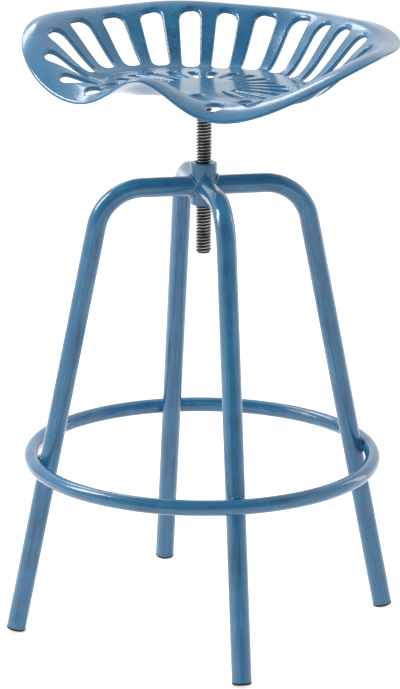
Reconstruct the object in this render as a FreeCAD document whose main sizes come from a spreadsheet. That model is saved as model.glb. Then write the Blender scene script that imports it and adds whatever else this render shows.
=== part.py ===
import FreeCAD, Part
import Sketcher
import math
import os

# Screw-height stool with a cast, pierced bucket seat on four bent tube legs.
# Millimetres. Z is up, the floor is z = 0, the screw turns about the Z axis and the seat faces -Y.

V = FreeCAD.Vector
Z_AXIS = V(0, 0, 1)

doc = FreeCAD.newDocument("bucket_seat_stool")
sheet = doc.addObject("Spreadsheet::Sheet", "Sizes")

# Driving dimensions: name, value, meaning
SIZES = [
    ("tube_od", 25.0, "outer diameter of the leg tube"),
    ("tube_wall", 1.5, "wall of the leg tube"),
    ("foot_spread", 245.0, "screw axis to the middle of a foot, in plan"),
    ("leg_lean", 11.46, "angle of a leg from the vertical"),
    ("arm_height", 580.3, "floor to the axis of the horizontal arms"),
    ("bend_radius", 60.0, "axis radius of the bend between arm and leg"),
    ("first_leg_angle", 45.0, "plan angle of the first leg"),
    ("leg_step", 90.0, "plan angle between neighbouring legs"),
    ("mitre_gap", 0.1, "gap between neighbouring arm ends"),
    ("ring_radius", 220.0, "axis radius of the foot ring"),
    ("ring_od", 19.6, "outer diameter of the foot ring's tube"),
    ("ring_wall", 1.5, "wall of the foot ring's tube"),
    ("ring_height", 225.1, "floor to the axis of the foot ring"),
    ("saddle_gap", 0.05, "gap between the ring and its saddle in a leg"),
    ("weld_size", 3.0, "height of the fillet welds over the tubes"),
    ("weld_limit", 6.0, "reach of the hub welds out from the hub"),
    ("tube_weld_sink", 0.73, "share of the weld size that a bead stands off the leg tube"),
    ("ring_weld_sink", 0.83, "share of the weld size that a bead stands off the ring tube"),
    ("hub_weld_sink", 0.9, "share of the weld size that a bead stands off the hub"),
    ("hub_od", 33.7, "outer diameter of the threaded hub"),
    ("hub_length", 54.0, "length of the threaded hub"),
    ("hub_below_arm", 24.0, "lower face of the hub below the arm axis"),
    ("hub_chamfer", 1.5, "chamfer of the hub's outer edges"),
    ("plug_head", 3.0, "thickness of a foot plug below its tube"),
    ("plug_shank", 16.0, "length of a foot plug inside its tube"),
    ("plug_edge", 1.0, "edge radius of a foot plug"),
    ("plug_gap", 0.05, "gap between a plug's shank and its tube"),
    ("screw_od", 20.0, "outer diameter of the screw thread"),
    ("screw_pitch", 4.0, "pitch of the single-start screw thread"),
    ("thread_depth", 2.25, "depth of the screw thread"),
    ("thread_crest", 1.2, "width of the screw thread at its crest"),
    ("thread_flank", 15.0, "flank angle of the screw thread"),
    ("bore_gap", 0.5, "gap between the crests of the screw and the hub's bore"),
    ("hub_mouth", 1.0, "chamfer of the hub's bore"),
    ("screw_chamfer", 2.25, "chamfer at the lower end of the screw"),
    ("trim_margin", 2.0, "reach of the tool that cuts that chamfer, beyond the screw"),
    ("screw_length", 203.0, "lower end of the screw to the top of the mounting plate"),
    ("screw_neck", 9.5, "plain length at the top of the screw"),
    ("seat_height", 709.3, "floor to the top of the seat's flat middle"),
    ("seat_wall", 6.0, "thickness of the seat casting"),
    ("rim_thinning", 0.5, "part of that thickness lost at the rim"),
    ("rim_thinning_start", 0.86, "share of the rim radius where the thinning starts"),
    ("pad_depth", 7.0, "depth of the bolting pad under the seat"),
    ("pad_od", 86.0, "diameter of the bolting pad under the seat"),
    ("plate_od", 84.0, "diameter of the mounting plate"),
    ("plate_depth", 6.0, "thickness of the mounting plate"),
    ("plate_bevel", 3.0, "bevel in the plate for the screw's weld"),
    ("plate_chamfer", 1.0, "edge chamfer of the mounting plate"),
    ("bolt_size", 8.0, "diameter of the seat bolts"),
    ("bolt_circle", 58.0, "diameter of the seat bolt circle"),
    ("bolt_grip", 9.0, "length of a seat bolt inside the bolting pad"),
    ("bolt_head", 5.3, "height of a seat bolt's head"),
    ("bolt_flats", 13.0, "width across flats of a seat bolt's head"),
    ("bolt_hole", 8.6, "diameter of the bolt holes in the plate"),
    ("bolt_gap", 0.05, "gap between a bolt and its hole in the pad"),
    ("bolt_end_gap", 1.0, "space beyond the end of a bolt"),
    ("washer_od", 14.0, "outer diameter of the bolt washers"),
    ("washer_depth", 1.6, "thickness of the bolt washers"),
    ("bump_od", 34.0, "outer diameter of the bump washer on the screw"),
    ("bump_depth", 2.5, "thickness of the bump washer on the screw"),
    ("bump_gap", 0.5, "gap between the bump washer and the screw"),
    ("dish_forward", 21.0, "middle of the dish in front of the screw axis"),
    ("dish_fall_back", 9.0, "fall of the floor from the middle to the rim radius, at the back"),
    ("dish_fall_front", 3.0, "fall of the floor from the middle to the rim radius, at the front"),
    ("rise_start_back", 0.60, "share of the rim radius where the back wall starts to rise"),
    ("rise_start_front", 0.20, "share of the rim radius where the pommel starts to rise"),
    ("rise_start_side", -0.077, "change of that share at the sides"),
    ("rise_end_back", 0.92, "share of the rim radius where the back wall stops rising"),
    ("rise_end_front", 1.0, "share of the rim radius where the pommel stops rising"),
    ("rise_end_side", 0.03, "change of that share at the sides"),
    ("rise_end_lobe", 0.447, "further change of that share at the thigh lobes"),
    ("roll_back", 5.5, "drop of the rolled rim at the back"),
    ("roll_front", 6.5, "drop of the rolled rim at the pommel"),
    ("roll_side", 1.2, "extra drop of the rolled rim from the sides to the front"),
    ("roll_lobe", 98.2, "extra drop of the rolled rim at the thigh lobes"),
    ("roll_share_back", 0.236, "share of the rim radius that rolls over, at the back"),
    ("roll_share_front", 0.33, "share of the rim radius that rolls over, at the front"),
    ("roll_share_lobe", 0.578, "extra share that rolls over at the thigh lobes"),
    ("slot_pitch", 14.1, "angle between neighbouring long slots"),
    ("slot_start", 0.61, "share of the rim radius at a long slot's inner end"),
    ("slot_end", 0.862, "share of the rim radius at a long slot's outer end"),
    ("slot_fill_start", 0.60, "share of the pitch that a long slot takes at its inner end"),
    ("slot_fill_end", 0.56, "share of the pitch that a long slot takes at its outer end"),
    ("slot_corner", 8.0, "corner radius of the long slots at their inner end"),
    ("slot_end_corner", 10.5, "corner radius of the long slots at their outer end"),
    ("short_slot_start", 48.0, "screw axis to the inner end of the short slots"),
    ("short_slot_end", 0.47, "share of the rim radius at a short slot's outer end"),
    ("last_short_slot_end", 0.38, "the same share for the front-most short slots"),
    ("short_slot_narrow", 5.0, "width of a short slot at its inner end"),
    ("short_slot_wide", 13.0, "width of a short slot at its outer end"),
    ("thigh_hole_across", 177.2, "distance between the two thigh holes"),
    ("thigh_hole_forward", 112.4, "thigh holes in front of the screw axis"),
    ("thigh_hole", 23.6, "diameter of the thigh holes"),
    ("side_hole_across", 198.0, "distance between the two side holes"),
    ("side_hole_forward", 57.2, "side holes in front of the screw axis"),
    ("side_hole", 20.8, "diameter of the side holes"),
    ("pommel_hole_across", 60.0, "distance between the two pommel holes"),
    ("pommel_hole_forward", 61.0, "pommel holes in front of the screw axis"),
    ("pommel_hole", 18.0, "diameter of the pommel holes"),
]
# The rim in plan and in height over the flat middle: sums of cosines of the angle from the back
RIM_RADIUS = [211.3, 60.3, -32.4, 1.3, 8.3, -0.3, 1.8, 1.9, 1.0]
RIM_RISE = [39.3, 35.2, -4.8, -13.5, 11.7, -5.2, -1.5, 0.0, 0.9]
SIZES += [("rim_radius_%d" % k, v, "rim radius, cosine %d" % k) for k, v in enumerate(RIM_RADIUS)]
SIZES += [("rim_rise_%d" % k, v, "rim height, cosine %d" % k) for k, v in enumerate(RIM_RISE)]

# Counts that set how many pieces and openings there are
LEG_NAMES = ["front_right", "rear_right", "rear_left", "front_left"]
FIRST_LEG_STEP = -1
BOLT_COUNT = 4
LONG_SLOTS_PER_SIDE = 9
SHORT_SLOTS_PER_SIDE = 8

# Sizes that follow from the driving ones
DERIVED = [
    ("tube_radius", "tube_od / 2"),
    ("tube_bore_radius", "tube_od / 2 - tube_wall"),
    ("foot_lift", "(tube_radius - plug_edge) * sin(leg_lean) + plug_edge * (1 - cos(leg_lean))"),
    ("tube_end_x", "foot_spread - plug_head * sin(leg_lean)"),
    ("tube_end_z", "foot_lift + plug_head * cos(leg_lean)"),
    ("arm_start", "hub_od / 4"),
    ("leg_slope", "leg_lean - 90"),
    ("leg_length", "(arm_height - foot_lift) / cos(leg_lean)"),
    ("weld_tube_radius", "tube_radius + weld_size * tube_weld_sink"),
    ("ring_tube_radius", "ring_od / 2"),
    ("ring_bore_radius", "ring_od / 2 - ring_wall"),
    ("saddle_radius", "ring_od / 2 + saddle_gap"),
    ("weld_ring_radius", "ring_od / 2 + weld_size * ring_weld_sink"),
    ("hub_radius", "hub_od / 2"),
    ("hub_bottom", "arm_height - hub_below_arm"),
    ("hub_top", "hub_bottom + hub_length"),
    ("hub_low_edge", "hub_bottom + hub_chamfer"),
    ("hub_high_edge", "hub_top - hub_chamfer"),
    ("hub_face_radius", "hub_radius - hub_chamfer"),
    ("bore_radius", "screw_od / 2 + bore_gap"),
    ("mouth_radius", "bore_radius + hub_mouth"),
    ("mouth_low", "hub_bottom + hub_mouth"),
    ("mouth_high", "hub_top - hub_mouth"),
    ("weld_hub_radius", "hub_radius + weld_size * hub_weld_sink"),
    ("weld_reach", "hub_radius + weld_limit"),
    ("screw_radius", "screw_od / 2"),
    ("screw_tip_radius", "screw_radius - screw_chamfer"),
    ("plate_top", "seat_height - seat_wall - pad_depth"),
    ("plate_bottom", "plate_top - plate_depth"),
    ("plate_low_edge", "plate_bottom + plate_chamfer"),
    ("plate_high_edge", "plate_top - plate_chamfer"),
    ("plate_radius", "plate_od / 2"),
    ("plate_face_radius", "plate_radius - plate_chamfer"),
    ("bevel_radius", "screw_radius + plate_bevel"),
    ("bevel_low", "plate_top - plate_bevel"),
    ("screw_bottom", "plate_top - screw_length"),
    ("trim_radius", "screw_radius + trim_margin"),
    ("trim_low", "screw_bottom + trim_radius - screw_tip_radius"),
    ("neck_bottom", "plate_top - screw_neck"),
    ("pad_radius", "pad_od / 2"),
    ("pad_height", "pad_depth + seat_wall / 2"),
    ("bolt_radius", "bolt_size / 2"),
    ("bolt_offset", "bolt_circle / 2"),
    ("bolt_corner", "bolt_flats / 2 / cos(30)"),
    ("bolt_under", "plate_bottom - washer_depth"),
    ("bolt_head_bottom", "bolt_under - bolt_head"),
    ("bolt_shank", "washer_depth + plate_depth + bolt_grip"),
    ("washer_radius", "washer_od / 2"),
    ("bolt_hole_radius", "bolt_hole / 2"),
    ("socket_radius", "bolt_size / 2 + bolt_gap"),
    ("socket_depth", "bolt_grip + bolt_end_gap"),
    ("bump_bottom", "plate_bottom - bump_depth"),
    ("bump_radius", "bump_od / 2"),
    ("bump_bore_radius", "screw_radius + bump_gap"),
    ("plug_radius", "tube_radius"),
    ("plug_shank_radius", "tube_bore_radius - plug_gap"),
    ("plug_top", "plug_head + plug_shank"),
]

row = 0
for alias, value, meaning in SIZES:
    row += 1
    sheet.set("A%d" % row, alias)
    sheet.set("B%d" % row, repr(value))
    sheet.set("C%d" % row, meaning)
    sheet.setAlias("B%d" % row, alias)
for alias, formula in DERIVED:
    row += 1
    sheet.set("A%d" % row, alias)
    sheet.set("B%d" % row, "=" + formula)
    sheet.setAlias("B%d" % row, alias)
doc.recompute()


def size(alias):
    """Number behind a name in the sheet."""
    return float(getattr(sheet, alias))


def bind(item, path, formula):
    """Tie a property to a formula of names in the sheet."""
    item.setExpression(path, formula)


# Helpers for sketched bodies

def origin_plane(body, role):
    """One of the body's own origin planes."""
    for item in body.Origin.OriginFeatures:
        if item.Role == role:
            return item


def new_sketch(body, name, role):
    """Sketch laid on an origin plane of its body."""
    sketch = body.newObject("Sketcher::SketchObject", name)
    sketch.AttachmentSupport = [(origin_plane(body, role), "")]
    sketch.MapMode = "FlatFace"
    return sketch


def dimension(sketch, kind, where, alias):
    """Dimensional constraint tied to a name in the sheet."""
    index = sketch.addConstraint(Sketcher.Constraint(kind, *where, size(alias)))
    bind(sketch, "Constraints[%d]" % index, "Sizes." + alias)


def pin(sketch, item, corner, radius, height):
    """Fix a point of a sketch by its distance from the axis and its height."""
    if radius:
        dimension(sketch, "DistanceX", (-1, 1, item, corner), radius)
    else:
        sketch.addConstraint(Sketcher.Constraint("PointOnObject", item, corner, -2))
    if height:
        dimension(sketch, "DistanceY", (-1, 1, item, corner), height)
    else:
        sketch.addConstraint(Sketcher.Constraint("PointOnObject", item, corner, -1))


def revolve(body, sketch, kind, name):
    """Turn a sketch a full circle about the vertical axis."""
    turned = body.newObject(kind, name)
    turned.Profile = sketch
    turned.ReferenceAxis = (sketch, ["V_Axis"])
    turned.Angle = 360
    sketch.Visibility = False
    return turned


def draw_polygon(sketch, corners):
    """Closed outline through corners given as (radius name, height name)."""
    points = [V(size(r) if r else 0, size(z) if z else 0, 0) for r, z in corners]
    lines = []
    for i, point in enumerate(points):
        end = points[(i + 1) % len(points)]
        lines.append(sketch.addGeometry(Part.LineSegment(point, end), False))
    for i, line in enumerate(lines):
        follower = lines[(i + 1) % len(lines)]
        sketch.addConstraint(Sketcher.Constraint("Coincident", line, 2, follower, 1))
    for line, (radius, height) in zip(lines, corners):
        pin(sketch, line, 1, radius, height)


def draw_circle(sketch, radius, centre_x, centre_z):
    """Circle with its radius and centre tied to the sheet."""
    centre = V(size(centre_x) if centre_x else 0, size(centre_z), 0)
    circle = sketch.addGeometry(Part.Circle(centre, Z_AXIS, size(radius)), False)
    dimension(sketch, "Radius", (circle,), radius)
    pin(sketch, circle, 3, centre_x, centre_z)


def turned_body(name, corners):
    """Body of revolution from corners given as (radius name, height name)."""
    body = doc.addObject("PartDesign::Body", name)
    sketch = new_sketch(body, name + "_outline", "XZ_Plane")
    draw_polygon(sketch, corners)
    revolve(body, sketch, "PartDesign::Revolution", name + "_turned")
    return body


# Helpers for plain solids and their combinations

def cylinder(name, radius, height, x="0", y="0", z="0"):
    """Upright cylinder tied to the sheet."""
    item = doc.addObject("Part::Cylinder", name)
    bind(item, "Radius", radius)
    bind(item, "Height", height)
    place(item, x, y, z)
    return item


def place(item, x, y, z):
    """Tie the position of an object to the sheet."""
    bind(item, "Placement.Base.x", x)
    bind(item, "Placement.Base.y", y)
    bind(item, "Placement.Base.z", z)


def fuse(name, items):
    joined = doc.addObject("Part::MultiFuse", name)
    joined.Shapes = items
    return joined


def cut(name, base, tool):
    result = doc.addObject("Part::Cut", name)
    result.Base = base
    result.Tool = tool
    return result


def common(name, items):
    shared = doc.addObject("Part::MultiCommon", name)
    shared.Shapes = items
    return shared


def plain_feature(name, shape):
    """Object that carries a computed shape."""
    item = doc.addObject("Part::Feature", name)
    item.Shape = shape
    return item


def around(name, item, step):
    """Copy of an object turned about the screw axis by a number of leg steps."""
    copy = doc.addObject("Part::Compound", name)
    copy.Links = [item]
    copy.Placement = FreeCAD.Placement(V(), FreeCAD.Rotation(Z_AXIS, 1))
    bind(copy, "Placement.Rotation.Angle", "Sizes.first_leg_angle + %d * Sizes.leg_step" % step)
    return copy


nodes = {}

# Leg: one swept tube, drawn in the plane y = 0

leg = doc.addObject("PartDesign::Body", "leg_form")
path = new_sketch(leg, "leg_path", "XZ_Plane")
lean = math.radians(size("leg_lean"))
corner_x = size("foot_spread") - (size("arm_height") - size("foot_lift")) * math.tan(lean)
trim = size("bend_radius") * math.tan((math.pi / 2 - lean) / 2)
arm_end = V(corner_x - trim, size("arm_height"), 0)
leg_start = V(corner_x + trim * math.sin(lean), size("arm_height") - trim * math.cos(lean), 0)
bend_centre = arm_end - V(0, size("bend_radius"), 0)
arm = path.addGeometry(Part.LineSegment(V(size("arm_start"), arm_end.y, 0), arm_end), False)
bend_circle = Part.Circle(bend_centre, Z_AXIS, size("bend_radius"))
bend = path.addGeometry(Part.ArcOfCircle(bend_circle, lean, math.pi / 2), False)
tube_end = V(size("tube_end_x"), size("tube_end_z"), 0)
shin = path.addGeometry(Part.LineSegment(leg_start, tube_end), False)
path.addConstraint(Sketcher.Constraint("Horizontal", arm))
path.addConstraint(Sketcher.Constraint("Tangent", arm, 2, bend, 2))
path.addConstraint(Sketcher.Constraint("Tangent", bend, 1, shin, 1))
dimension(path, "Radius", (bend,), "bend_radius")
pin(path, arm, 1, "arm_start", "arm_height")
pin(path, shin, 2, "tube_end_x", "tube_end_z")
slope = path.addConstraint(Sketcher.Constraint("Angle", shin, lean - math.pi / 2))
bind(path, "Constraints[%d]" % slope, "Sizes.leg_slope")

section = new_sketch(leg, "leg_section", "YZ_Plane")
bind(section, "AttachmentOffset.Base.z", "Sizes.arm_start")
draw_circle(section, "tube_radius", None, "arm_height")
draw_circle(section, "tube_bore_radius", None, "arm_height")
tube = leg.newObject("PartDesign::AdditivePipe", "leg_tube")
tube.Profile = section
tube.Spine = (path, ["Edge1", "Edge2", "Edge3"])

# Cope against the hub and saddle for the ring, both turned about the screw axis
turned_cuts = new_sketch(leg, "leg_turned_cuts", "XZ_Plane")
draw_polygon(turned_cuts, [(None, "hub_bottom"), ("hub_radius", "hub_bottom"),
                           ("hub_radius", "hub_top"), (None, "hub_top")])
draw_circle(turned_cuts, "saddle_radius", "ring_radius", "ring_height")
revolve(leg, turned_cuts, "PartDesign::Groove", "leg_cope_and_saddle")

# Mitre between neighbouring arms: a wedge-shaped block of the leg's own quarter
mitre = doc.addObject("Part::Box", "leg_quarter")
bind(mitre, "Length", "Sizes.foot_spread * 2")
bind(mitre, "Width", "Sizes.foot_spread * 2")
bind(mitre, "Height", "Sizes.seat_height")
mitre.Placement = FreeCAD.Placement(V(), FreeCAD.Rotation(Z_AXIS, -45))
bind(mitre, "Placement.Base.x", "Sizes.mitre_gap")
leg_piece = common("leg_piece", [leg, mitre])

# Foot plug in its own frame, set square to the leg
plug = turned_body("plug_form", [(None, None), ("plug_radius", None), ("plug_radius", "plug_head"),
                                 ("plug_shank_radius", "plug_head"),
                                 ("plug_shank_radius", "plug_top"), (None, "plug_top")])
doc.recompute()
turned_plug = plug.Tip
rim_edges = []
for number, edge in enumerate(turned_plug.Shape.Edges, start=1):
    if edge.BoundBox.ZMax < size("plug_head") / 2 and len(edge.Vertexes) == 1:
        rim_edges.append("Edge%d" % number)
rounding = plug.newObject("PartDesign::Fillet", "plug_edge_round")
rounding.Base = (turned_plug, rim_edges)
bind(rounding, "Radius", "Sizes.plug_edge")
plug.Placement = FreeCAD.Placement(V(), FreeCAD.Rotation(V(0, -1, 0), 1))
place(plug, "Sizes.foot_spread", "0", "Sizes.foot_lift")
bind(plug, "Placement.Rotation.Angle", "Sizes.leg_lean")


def leg_rod(name, radius):
    """Solid rod along the straight part of a leg."""
    rod = doc.addObject("Part::Cylinder", name)
    bind(rod, "Radius", "Sizes." + radius)
    bind(rod, "Height", "Sizes.leg_length")
    rod.Placement = FreeCAD.Placement(V(), FreeCAD.Rotation(V(0, -1, 0), 1))
    place(rod, "Sizes.foot_spread", "0", "Sizes.foot_lift")
    bind(rod, "Placement.Rotation.Angle", "Sizes.leg_lean")
    return rod


def hoop(name, radius):
    """Torus on the axis circle of the foot ring."""
    torus = doc.addObject("Part::Torus", name)
    bind(torus, "Radius1", "Sizes.ring_radius")
    bind(torus, "Radius2", "Sizes." + radius)
    place(torus, "0", "0", "Sizes.ring_height")
    return torus


# Weld between ring and leg: inside both enlarged tubes, outside both real ones
weld_blank = common("ring_weld_blank", [leg_rod("weld_rod", "weld_tube_radius"),
                                        hoop("weld_hoop", "weld_ring_radius")])
weld_core = fuse("ring_weld_core", [leg_rod("leg_core", "tube_radius"),
                                    hoop("ring_core", "ring_tube_radius")])
ring_weld = cut("ring_weld_form", weld_blank, weld_core)

for number, leg_name in enumerate(LEG_NAMES):
    step = FIRST_LEG_STEP + number
    nodes["leg_" + leg_name] = around("leg_" + leg_name, leg_piece, step)
    nodes["foot_plug_" + leg_name] = around("foot_plug_" + leg_name, plug, step)
    nodes["ring_weld_" + leg_name] = around("ring_weld_" + leg_name, ring_weld, step)

# Foot ring: one hollow turned tube
ring = doc.addObject("PartDesign::Body", "foot_ring")
ring_section = new_sketch(ring, "ring_section", "XZ_Plane")
draw_circle(ring_section, "ring_tube_radius", "ring_radius", "ring_height")
draw_circle(ring_section, "ring_bore_radius", "ring_radius", "ring_height")
revolve(ring, ring_section, "PartDesign::Revolution", "ring_tube")
nodes["foot_ring"] = ring


# Screw thread: a plane thread section swept and turned along the screw axis

def thread_rod(turns):
    """Threaded rod of whole turns.

    The section across a single-start thread is an arc at the crest, an arc at the root and two
    spirals for the flanks. It starts with the crest on the X axis, so rods that start a whole
    number of pitches apart are in step.
    """
    pitch = size("screw_pitch")
    height = pitch * turns
    crest = size("screw_od") / 2
    root = crest - size("thread_depth")
    half_crest = size("thread_crest") / 2
    flank = size("thread_depth") * math.tan(math.radians(size("thread_flank")))
    inner = 2 * math.pi * half_crest / pitch
    outer = 2 * math.pi * (half_crest + flank) / pitch

    def spiral(side):
        points = []
        for i in range(SPIRAL_POINTS):
            share = i / (SPIRAL_POINTS - 1)
            radius = crest + (root - crest) * share
            angle = side * (inner + (outer - inner) * share)
            points.append(V(radius * math.cos(angle), radius * math.sin(angle), 0))
        curve = Part.BSplineCurve()
        curve.interpolate(points)
        return curve.toShape()

    crest_arc = Part.Arc(Part.Circle(V(), Z_AXIS, crest), -inner, inner).toShape()
    root_arc = Part.Arc(Part.Circle(V(), Z_AXIS, root), outer, 2 * math.pi - outer).toShape()
    wire = Part.Wire(Part.__sortEdges__([crest_arc, spiral(1), root_arc, spiral(-1)]))
    spine = Part.Wire([Part.makeLine(V(), V(0, 0, height))])
    guide = Part.Wire(Part.makeHelix(pitch, height, crest).Edges)
    sweep = Part.BRepOffsetAPI.MakePipeShell(spine)
    sweep.setAuxiliarySpine(guide, True, 0)
    sweep.add(wire, False, False)
    sweep.build()
    sweep.makeSolid()
    return sweep.shape()


SPIRAL_POINTS = 9
TURNS_PER_PIECE = 10
thread_low = size("screw_bottom") - size("screw_pitch")
piece_height = TURNS_PER_PIECE * size("screw_pitch")
piece_count = math.ceil((size("neck_bottom") - thread_low) / piece_height)
thread_piece = thread_rod(TURNS_PER_PIECE)
thread_pieces = []
for number in range(piece_count):
    thread_pieces.append(thread_piece.translated(V(0, 0, thread_low + number * piece_height)))
screw_thread = plain_feature("screw_thread", thread_pieces[0].fuse(thread_pieces[1:]))

# Trimming body for the screw: wider than the crests, with the chamfer of the lower end
screw_form = turned_body("screw_form", [(None, "screw_bottom"), ("screw_tip_radius", "screw_bottom"),
                                        ("trim_radius", "trim_low"),
                                        ("trim_radius", "neck_bottom"), (None, "neck_bottom")])
threaded = common("screw_threaded_part", [screw_thread, screw_form])
neck = cylinder("screw_neck_part", "Sizes.screw_radius", "Sizes.screw_neck", z="Sizes.neck_bottom")
nodes["spindle"] = fuse("spindle", [threaded, neck])

# Hub with a plain bore that clears the crests of the screw
nodes["hub"] = turned_body("hub", [("bore_radius", "mouth_low"), ("mouth_radius", "hub_bottom"),
                                   ("hub_face_radius", "hub_bottom"),
                                   ("hub_radius", "hub_low_edge"),
                                   ("hub_radius", "hub_high_edge"),
                                   ("hub_face_radius", "hub_top"),
                                   ("mouth_radius", "hub_top"), ("bore_radius", "mouth_high")])


# Welds round the hub: inside the enlarged hub and arms, outside the real ones

def arm_rod(name, radius, step):
    """Solid rod along an arm, from the screw axis to beyond the hub."""
    rod = doc.addObject("Part::Cylinder", name)
    bind(rod, "Radius", "Sizes." + radius)
    bind(rod, "Height", "Sizes.weld_reach")
    azimuth = FreeCAD.Rotation(Z_AXIS, size("first_leg_angle") + step * size("leg_step"))
    rod.Placement = FreeCAD.Placement(V(), azimuth * FreeCAD.Rotation(V(0, 1, 0), 90))
    bind(rod, "Placement.Base.z", "Sizes.arm_height")
    return rod


weld_arms = []
arm_cores = []
for number in range(len(LEG_NAMES)):
    weld_arms.append(arm_rod("weld_arm_%d" % number, "weld_tube_radius", number))
    arm_cores.append(arm_rod("arm_core_%d" % number, "tube_radius", number))
weld_hub = cylinder("weld_hub", "Sizes.weld_hub_radius", "Sizes.hub_length", z="Sizes.hub_bottom")
hub_core = cylinder("hub_core", "Sizes.hub_radius", "Sizes.hub_length", z="Sizes.hub_bottom")
hub_weld_blank = common("hub_weld_blank", [fuse("weld_arms", weld_arms), weld_hub])
nodes["hub_welds"] = cut("hub_welds", hub_weld_blank, fuse("hub_weld_core", arm_cores + [hub_core]))

# Mounting plate, its weld to the screw and the bump washer

plate_blank = turned_body("plate_blank", [("screw_radius", "plate_bottom"),
                                          ("plate_face_radius", "plate_bottom"),
                                          ("plate_radius", "plate_low_edge"),
                                          ("plate_radius", "plate_high_edge"),
                                          ("plate_face_radius", "plate_top"),
                                          ("bevel_radius", "plate_top"),
                                          ("screw_radius", "bevel_low")])
spindle_weld = turned_body("spindle_weld", [("screw_radius", "bevel_low"),
                                            ("bevel_radius", "plate_top"),
                                            ("screw_radius", "plate_top")])
nodes["spindle_weld"] = spindle_weld
bump = turned_body("bump_washer", [("bump_bore_radius", "bump_bottom"),
                                   ("bump_radius", "bump_bottom"),
                                   ("bump_radius", "plate_bottom"),
                                   ("bump_bore_radius", "plate_bottom")])
nodes["bump_washer"] = bump


# Bolts from below through washers and plate into the pad

def bolt_ring(name, radius, height, z):
    """One upright cylinder on every place of the bolt circle."""
    items = []
    for number in range(BOLT_COUNT):
        turn = "%d * 360 / %d" % (number, BOLT_COUNT)
        items.append(cylinder("%s_%d" % (name, number), "Sizes." + radius, "Sizes." + height,
                              "Sizes.bolt_offset * cos(%s)" % turn,
                              "Sizes.bolt_offset * sin(%s)" % turn, "Sizes." + z))
    return items


shanks = bolt_ring("bolt_shank", "bolt_radius", "bolt_shank", "bolt_under")
bolts = []
for number, shank in enumerate(shanks):
    head = doc.addObject("Part::Prism", "bolt_head_%d" % number)
    head.Polygon = 6
    bind(head, "Circumradius", "Sizes.bolt_corner")
    bind(head, "Height", "Sizes.bolt_head")
    turn = "%d * 360 / %d" % (number, BOLT_COUNT)
    place(head, "Sizes.bolt_offset * cos(%s)" % turn, "Sizes.bolt_offset * sin(%s)" % turn,
          "Sizes.bolt_head_bottom")
    bolts.append(fuse("bolt_%d" % number, [head, shank]))
seat_bolts = doc.addObject("Part::Compound", "seat_bolts")
seat_bolts.Links = bolts
nodes["seat_bolts"] = seat_bolts

washer_discs = bolt_ring("washer_disc", "washer_radius", "washer_depth", "bolt_under")
washer_holes = bolt_ring("washer_hole", "bolt_hole_radius", "washer_depth", "bolt_under")
washers = doc.addObject("Part::Compound", "bolt_washers")
washers.Links = [cut("washer_%d" % i, disc, hole)
                 for i, (disc, hole) in enumerate(zip(washer_discs, washer_holes))]
nodes["bolt_washers"] = washers

plate_holes = bolt_ring("plate_hole", "bolt_hole_radius", "plate_depth", "plate_bottom")
nodes["mounting_plate"] = cut("mounting_plate", plate_blank, fuse("plate_holes", plate_holes))


# Seat: a height formula over the plan, cut to the rim line

def cosine_sum(name, angle):
    """Sum of the rim's cosine terms at an angle from the back."""
    return sum(size("%s_%d" % (name, k)) * math.cos(k * angle) for k in range(len(RIM_RADIUS)))


def mix(back, front, share):
    return size(back) * (1 - share) + size(front) * share


def rim_share(x, y):
    """Angle from the back, and distance from the dish's middle as a share of the rim radius."""
    forward = y + size("dish_forward")
    angle = math.atan2(x, forward)
    return angle, math.hypot(x, forward) / cosine_sum("rim_radius", angle)


def eased(value, start, end):
    """Smooth step from 0 at the start to 1 at the end."""
    step = min(max((value - start) / (end - start), 0.0), 1.0)
    return step * step * (3 - 2 * step)


LOBE_POWER = 3


def seat_top(x, y):
    """Height of the seat's upper surface at a point of the plan."""
    angle, reach = rim_share(x, y)
    side = math.sin(angle) ** 2
    front = (0.5 - 0.5 * math.cos(angle)) ** 2
    pommel = front ** LOBE_POWER
    lobe = pommel * side
    start = mix("rise_start_back", "rise_start_front", pommel) + size("rise_start_side") * side
    end = mix("rise_end_back", "rise_end_front", front) + size("rise_end_side") * side
    climb = eased(reach, start, end + size("rise_end_lobe") * lobe)
    drop = mix("roll_back", "roll_front", front)
    drop += size("roll_side") * front * side + size("roll_lobe") * lobe
    width = mix("roll_share_back", "roll_share_front", front) + size("roll_share_lobe") * lobe
    rolled = max((reach - 1 + width) / width, 0.0)
    if rolled > 1:
        rolled = 2 * rolled - 1
    else:
        rolled = rolled ** 2
    floor = -mix("dish_fall_back", "dish_fall_front", front) * reach ** 2
    wall = cosine_sum("rim_rise", angle) + drop
    return size("seat_height") + floor * (1 - climb) + wall * climb - drop * rolled


GRID_STEP = 8.0
SLOPE_STEP = 1.0
STEEPEST = 1.8


def seat_under(x, y):
    """Height of the lower surface, one wall thickness below the upper one, square to it."""
    slope_x = (seat_top(x + SLOPE_STEP, y) - seat_top(x - SLOPE_STEP, y)) / (2 * SLOPE_STEP)
    slope_y = (seat_top(x, y + SLOPE_STEP) - seat_top(x, y - SLOPE_STEP)) / (2 * SLOPE_STEP)
    stretch = min(math.sqrt(1 + slope_x ** 2 + slope_y ** 2), STEEPEST)
    thinning = size("rim_thinning") * eased(rim_share(x, y)[1], size("rim_thinning_start"), 1.0)
    return seat_top(x, y) - size("seat_wall") * (1 - thinning) * stretch


def rim_point(angle, share=1.0):
    """Point of the plan at a share of the rim radius."""
    radius = share * cosine_sum("rim_radius", angle)
    return V(radius * math.sin(angle), radius * math.cos(angle) - size("dish_forward"), 0)


RIM_POINTS = 144
rim_outline = [rim_point(2 * math.pi * i / RIM_POINTS) for i in range(RIM_POINTS)]
rim_curve = Part.BSplineCurve()
rim_curve.interpolate(Points=rim_outline, PeriodicFlag=True)

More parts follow.
